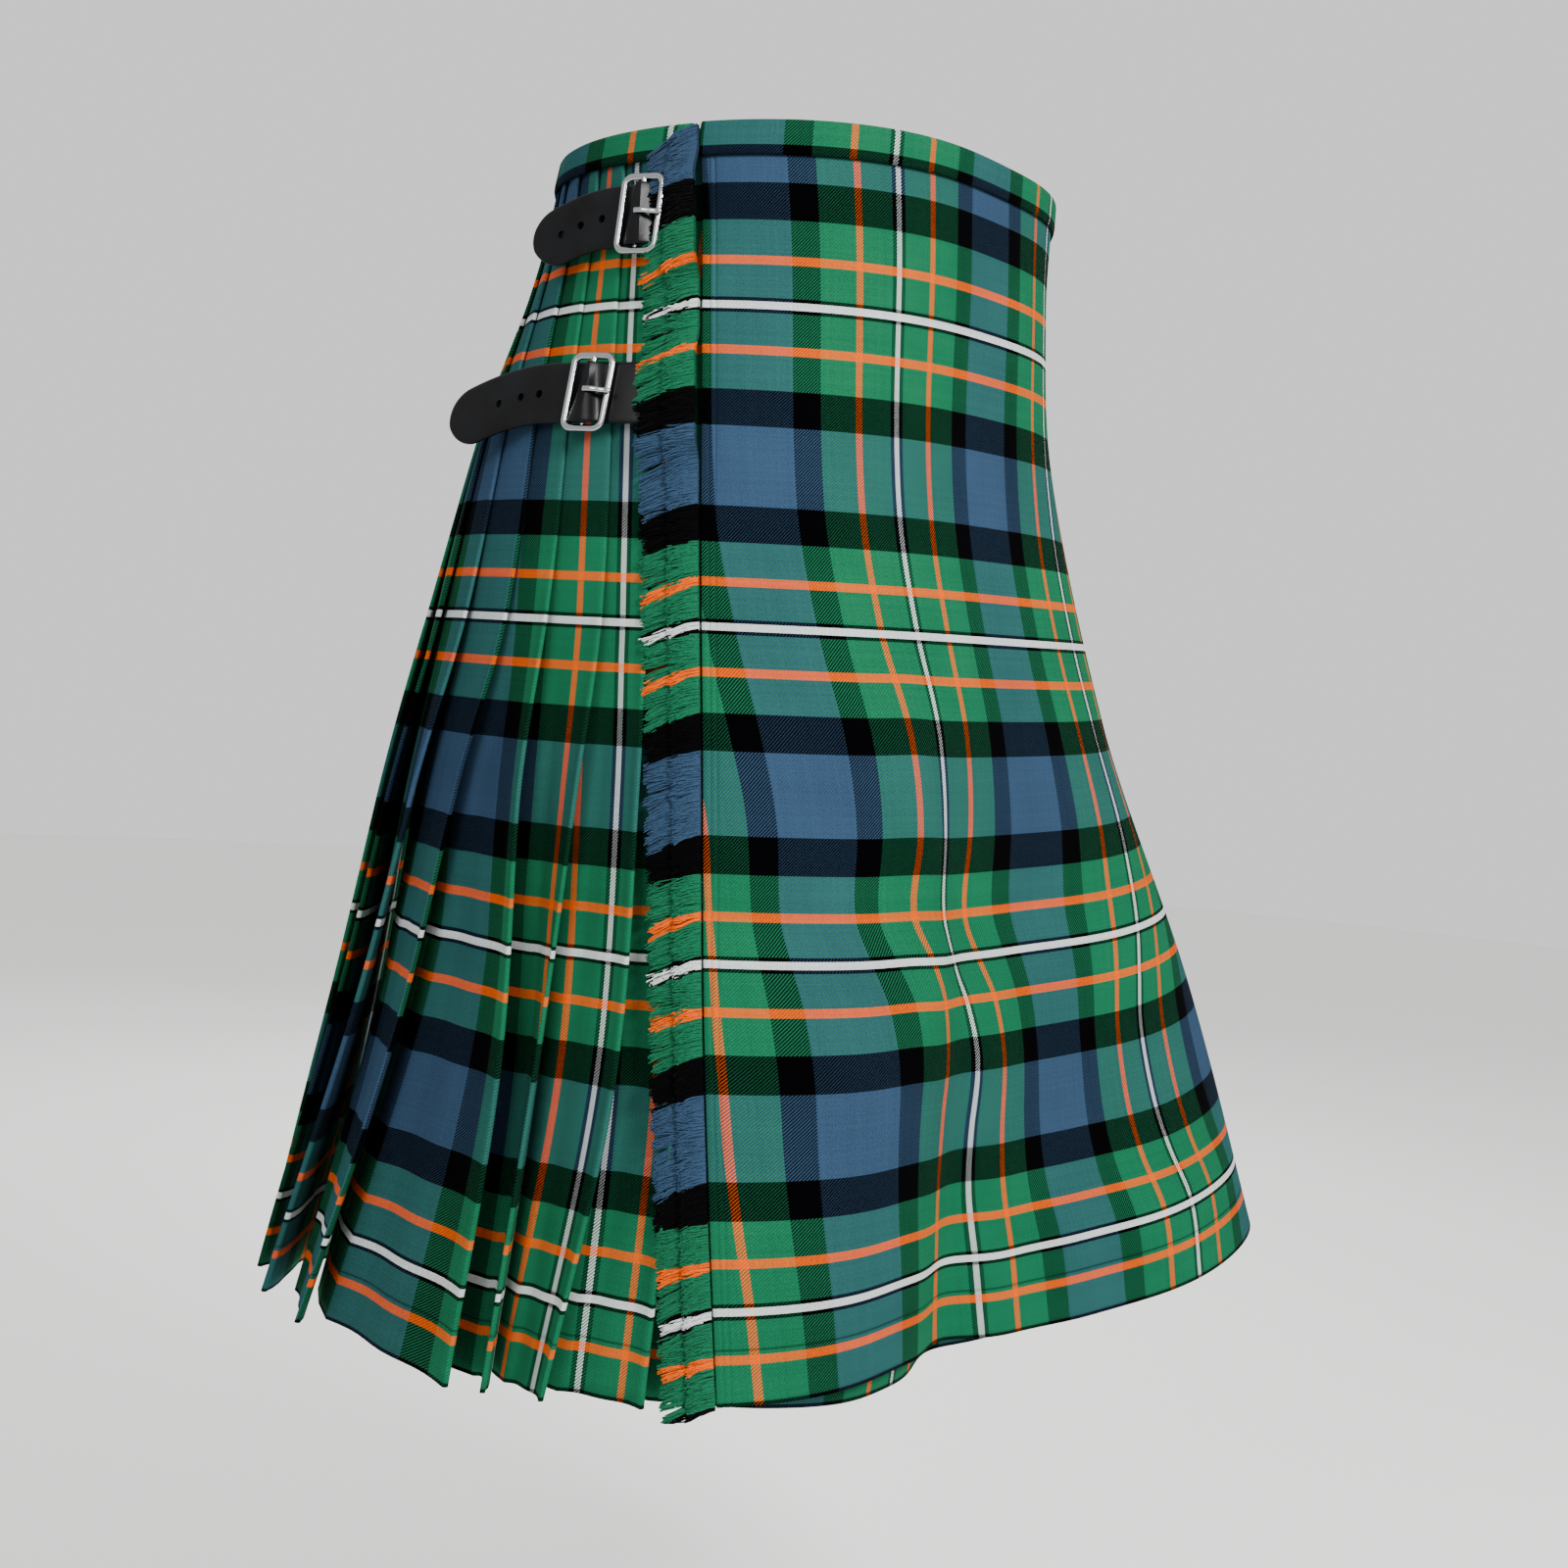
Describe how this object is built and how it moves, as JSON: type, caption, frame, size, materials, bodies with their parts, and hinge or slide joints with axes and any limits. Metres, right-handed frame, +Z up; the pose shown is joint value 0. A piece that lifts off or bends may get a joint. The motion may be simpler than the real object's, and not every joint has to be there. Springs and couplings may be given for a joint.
{
  "type": "scottish kilt",
  "caption": "Worn pleated tartan kilt in green, blue and black wool, with a fringed front apron, leather straps and metal buckles.",
  "frame": {"origin": "middle of the waist opening, level with the top of the front of the waistband", "axes": "+Z up along the wearer, -Y to the wearer's front, -X to the wearer's right"},
  "size_m": [0.5694, 0.4804, 0.6177],
  "materials": {
    "tartan": "2/2 twill worsted wool tartan: green, blue and black with orange and white lines",
    "fringe": "brushed self fringe of the same wool yarns",
    "leather": "black satin strap leather",
    "nickel": "polished nickel plate"
  },
  "bodies": {
    "root": {"over_apron": "tartan", "under_apron": "tartan", "pleat_01": "tartan", "pleat_02": "tartan", "pleat_03": "tartan", "pleat_04": "tartan", "pleat_05": "tartan", "pleat_06": "tartan", "pleat_07": "tartan", "pleat_08": "tartan", "pleat_09": "tartan", "pleat_10": "tartan", "pleat_11": "tartan", "pleat_12": "tartan", "pleat_13": "tartan", "pleat_14": "tartan", "pleat_15": "tartan", "pleat_16": "tartan", "pleat_17": "tartan", "pleat_18": "tartan", "pleat_19": "tartan", "pleat_20": "tartan", "pleat_21": "tartan", "pleat_22": "tartan", "pleat_23": "tartan", "pleat_24": "tartan", "pleat_25": "tartan", "pleat_26": "tartan", "waistband_over_apron": "tartan", "waistband_pleats": "tartan", "waistband_under_apron": "tartan", "fringe_under": "fringe", "fringe_edge": "fringe", "strap_waist_right": "leather", "buckle_tab_waist_right": "leather", "buckle_frame_waist_right": "nickel", "buckle_prong_waist_right": "nickel", "strap_hip_right": "leather", "buckle_tab_hip_right": "leather", "buckle_frame_hip_right": "nickel", "buckle_prong_hip_right": "nickel", "strap_waist_left": "leather", "buckle_tab_waist_left": "leather", "buckle_frame_waist_left": "nickel", "buckle_prong_waist_left": "nickel"}
  },
  "joints": []
}
